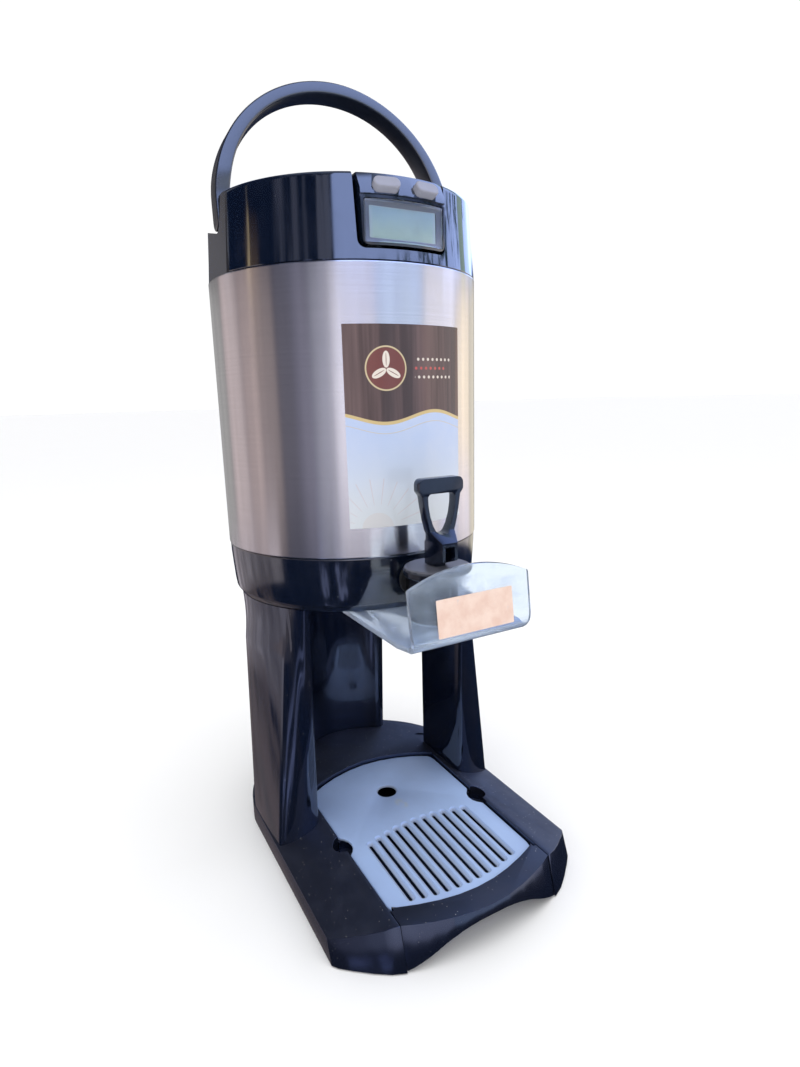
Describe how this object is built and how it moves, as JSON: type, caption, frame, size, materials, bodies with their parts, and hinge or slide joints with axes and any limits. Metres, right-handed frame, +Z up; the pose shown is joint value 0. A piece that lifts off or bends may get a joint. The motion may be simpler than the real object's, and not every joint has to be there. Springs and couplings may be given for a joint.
{
  "type": "insulated beverage dispenser",
  "caption": "Insulated steel beverage dispenser with a bail handle, lid display, loop-lever tap behind a clear splash guard, and a stand with a slotted drip tray.",
  "frame": {"origin": "middle of the footprint's bounding box, on the floor under the feet", "axes": "+Z up, the tap and the drip tray at the front towards -Y, the rear column towards +Y, the handle's hinge line along X"},
  "size_m": [0.228, 0.3339, 0.6538],
  "materials": {
    "stainless_steel": "brushed round the body",
    "inner_steel": "smooth drawn",
    "gloss_black": "glossy",
    "stand_black": "glossy",
    "base_black": "semi-gloss, dusty",
    "handle_black": "satin",
    "cover_grey": "satin",
    "button_grey": "satin",
    "lcd_glass": "smooth",
    "clear_plastic": "clear, hazy",
    "black_rubber": "matte",
    "printed_card": "printed, satin",
    "sticker_peach": "printed, satin",
    "circuit_green": "satin",
    "battery_case": "satin",
    "tube_plastic": "satin",
    "screw_steel": "bright"
  },
  "bodies": {
    "frame": {"body_shell": "stainless_steel", "liner_floor": "inner_steel", "inner_liner": "inner_steel", "liner_shoulder": "inner_steel", "shell_base": "stainless_steel", "label_card": "printed_card", "top_cover": "gloss_black", "handle_pin_left": "screw_steel", "handle_pin_right": "screw_steel", "display_housing": "gloss_black", "display_window": "clear_plastic", "lcd_panel": "lcd_glass", "circuit_board": "circuit_green", "battery": "battery_case", "bottom_collar": "gloss_black", "outlet_pipe": "tube_plastic", "tap_body": "gloss_black", "shank_nut": "tube_plastic", "shank_washer": "black_rubber", "tap_bonnet": "gloss_black", "lever_pin": "screw_steel", "splash_guard": "clear_plastic", "guard_label": "sticker_peach", "guard_screw_left": "screw_steel", "guard_screw_right": "screw_steel", "base_frame": "base_black", "foot_1": "black_rubber", "foot_2": "black_rubber", "foot_3": "black_rubber", "foot_4": "black_rubber", "stand_leg_left": "stand_black", "stand_leg_right": "stand_black", "leg_screw_left": "screw_steel", "leg_screw_right": "screw_steel", "rear_column": "stand_black", "column_screw_left": "screw_steel", "column_screw_right": "screw_steel"},
    "handle": {"carry_handle": "handle_black"},
    "lid": {"fill_lid": "gloss_black", "lid_plug": "gloss_black", "lid_gasket": "black_rubber", "fill_tube": "tube_plastic"},
    "button_l": {"button_left": "button_grey"},
    "button_r": {"button_right": "button_grey"},
    "lever": {"tap_lever": "gloss_black"},
    "stem": {"tap_stem": "tube_plastic", "seat_cup": "black_rubber", "tap_spring": "screw_steel"},
    "tray": {"drip_tray": "base_black"},
    "cover": {"drip_cover": "cover_grey"}
  },
  "joints": [
    {"name": "handle_swing", "type": "hinge", "parent": "frame", "child": "handle", "pos_m": [0, 0.0523, 0.538], "axis": [1, 0, 0], "range_deg": [-60, 0]},
    {"name": "lid_lift", "type": "slide", "parent": "frame", "child": "lid", "axis": [0, 0, 1], "range_m": [0, 0.062]},
    {"name": "button_left_press", "type": "slide", "parent": "frame", "child": "button_l", "axis": [0.127, 0.8779, -0.4617], "range_m": [0, 0.0015], "stiffness_N_per_m": 400, "springref_m": -0.001},
    {"name": "button_right_press", "type": "slide", "parent": "frame", "child": "button_r", "axis": [-0.1208, 0.8787, -0.4618], "range_m": [0, 0.0015], "stiffness_N_per_m": 400, "springref_m": -0.001},
    {"name": "lever_pull", "type": "hinge", "parent": "frame", "child": "lever", "pos_m": [0, -0.095, 0.284], "axis": [1, 0, 0], "range_deg": [0, 20]},
    {"name": "stem_lift", "type": "slide", "parent": "frame", "child": "stem", "axis": [0, 0, 1], "range_m": [0, 0.00297], "stiffness_N_per_m": 400, "springref_m": -0.001, "deforming": ["tap_spring"]},
    {"name": "tray_slide", "type": "slide", "parent": "frame", "child": "tray", "axis": [0, -1, 0], "range_m": [0, 0.2]},
    {"name": "cover_lift", "type": "slide", "parent": "tray", "child": "cover", "axis": [0, 0, 1], "range_m": [0, 0.1]}
  ],
  "couplings": [
    {"joint": "lever_pull", "follows": "stem_lift", "rad_per_m": 117.65}
  ]
}
